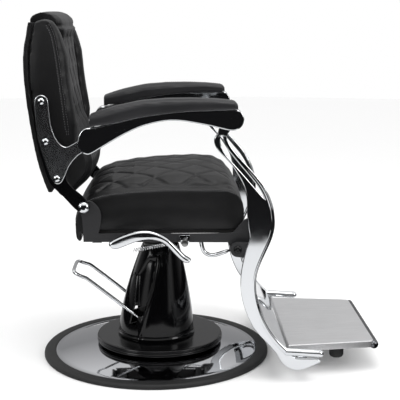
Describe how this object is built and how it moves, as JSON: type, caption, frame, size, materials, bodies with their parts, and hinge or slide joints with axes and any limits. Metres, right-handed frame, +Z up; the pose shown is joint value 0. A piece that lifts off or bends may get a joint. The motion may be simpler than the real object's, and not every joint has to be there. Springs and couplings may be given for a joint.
{
  "type": "hydraulic barber chair",
  "caption": "Barber chair with a round pump base, pedal, swivelling seat, reclining quilted back, padded armrests and S-shaped legs that carry a hinged footrest.",
  "frame": {"origin": "on the floor, at the centre of the base disc and on the axis of the hydraulic column", "axes": "+X to the front of the chair, towards the footrest; +Y to the sitter's left; +Z up"},
  "size_m": [0.959, 0.668, 0.99],
  "materials": {
    "disc_chrome": "polished",
    "chrome": "polished",
    "steel": "satin",
    "brushed_aluminium": "satin",
    "frame_paint": "satin",
    "gloss_black": "gloss",
    "casting": "matte",
    "rubber": "matte",
    "leather": "satin",
    "pad_leather": "satin",
    "plywood": "matte"
  },
  "bodies": {
    "base": {"base_disc": "disc_chrome", "base_rubber_rim": "rubber", "base_flange": "gloss_black", "column_cover": "gloss_black", "pump_cylinder": "steel", "pump_reservoir": "casting", "cylinder_cap": "steel", "pedal_pin_left": "steel", "pedal_pin_right": "steel"},
    "pedal": {"pedal_loop": "chrome"},
    "lift": {"lift_ram": "chrome", "swivel_bearing": "steel"},
    "seat": {"seat_spider": "casting", "seat_board": "plywood", "seat_cushion": "leather", "frame_side_left": "frame_paint", "frame_side_right": "frame_paint", "front_rod_left": "chrome", "front_rod_right": "chrome", "back_pivot_bolt_left": "chrome", "back_pivot_bolt_right": "chrome", "lever_bracket": "chrome", "recline_lock": "steel"},
    "back": {"back_panel": "leather", "back_cushion": "leather", "back_bolster_left": "leather", "back_bolster_right": "leather", "back_hinge_left": "frame_paint", "back_hinge_right": "frame_paint", "back_bracket_left": "chrome", "back_bracket_right": "chrome", "bracket_bolt_left_1": "chrome", "bracket_bolt_left_2": "chrome", "bracket_bolt_left_3": "chrome", "bracket_bolt_right_1": "chrome", "bracket_bolt_right_2": "chrome", "bracket_bolt_right_3": "chrome"},
    "arm_left": {"arm_casting_left": "chrome", "arm_pad_left": "pad_leather", "arm_front_pin_left": "steel", "arm_rear_pin_left": "steel"},
    "arm_right": {"arm_casting_right": "chrome", "arm_pad_right": "pad_leather", "arm_front_pin_right": "steel", "arm_rear_pin_right": "steel"},
    "footrest": {"leg_left": "chrome", "leg_right": "chrome", "foot_shaft": "steel", "kick_panel": "chrome", "foot_crossbar": "chrome", "footplate": "brushed_aluminium", "foot_bumper_left": "rubber", "foot_bumper_right": "rubber", "foot_pivot_bolt_left": "chrome", "foot_pivot_bolt_right": "chrome"},
    "lock_rod": {"lock_rod": "chrome"},
    "lever": {"recline_lever": "chrome", "lever_pin": "steel"},
    "spring": {"lever_spring": "steel"}
  },
  "joints": [
    {"name": "pedal_press", "type": "hinge", "parent": "base", "child": "pedal", "pos_m": [-0.02, 0, 0.098], "axis": [0, -1, 0], "range_deg": [0, 16], "stiffness_Nm_per_rad": 6, "springref_deg": -17.19},
    {"name": "lift", "type": "slide", "parent": "base", "child": "lift", "axis": [0, 0, 1], "range_m": [0, 0.17]},
    {"name": "swivel", "type": "hinge", "parent": "lift", "child": "seat", "pos_m": [0, 0, 0.385], "axis": [0, 0, 1], "continuous": true},
    {"name": "recline", "type": "hinge", "parent": "seat", "child": "back", "pos_m": [-0.185, 0, 0.484], "axis": [0, -1, 0], "range_deg": [0, 35]},
    {"name": "arm_left_level", "type": "hinge", "parent": "back", "child": "arm_left", "pos_m": [-0.178, 0.297, 0.653], "axis": [0, -1, 0], "range_deg": [-35, 0]},
    {"name": "arm_right_level", "type": "hinge", "parent": "back", "child": "arm_right", "pos_m": [-0.178, -0.297, 0.653], "axis": [0, -1, 0], "range_deg": [-35, 0]},
    {"name": "footrest_swing", "type": "hinge", "parent": "seat", "child": "footrest", "pos_m": [0.22, 0, 0.37], "axis": [0, -1, 0], "range_deg": [0, 17.4]},
    {"name": "lock_slide", "type": "slide", "parent": "seat", "child": "lock_rod", "axis": [-1, 0, 0], "range_m": [0, 0.0078]},
    {"name": "lever_lift", "type": "hinge", "parent": "seat", "child": "lever", "pos_m": [0.08, -0.3, 0.391], "axis": [0, 1, 0], "range_deg": [0, 12], "stiffness_Nm_per_rad": 4, "springref_deg": -17.19},
    {"name": "spring_follow", "type": "hinge", "parent": "seat", "child": "spring", "pos_m": [0.04, -0.268, 0.385], "axis": [0, 1, 0], "range_deg": [0, 17]}
  ],
  "couplings": [
    {"joint": "arm_left_level", "follows": "recline", "ratio": -1},
    {"joint": "arm_right_level", "follows": "recline", "ratio": -1},
    {"joint": "footrest_swing", "follows": "recline", "ratio": 0.495},
    {"joint": "lock_slide", "follows": "recline", "m_per_rad": 0.01262},
    {"joint": "spring_follow", "follows": "lever_lift", "ratio": 1.4}
  ]
}
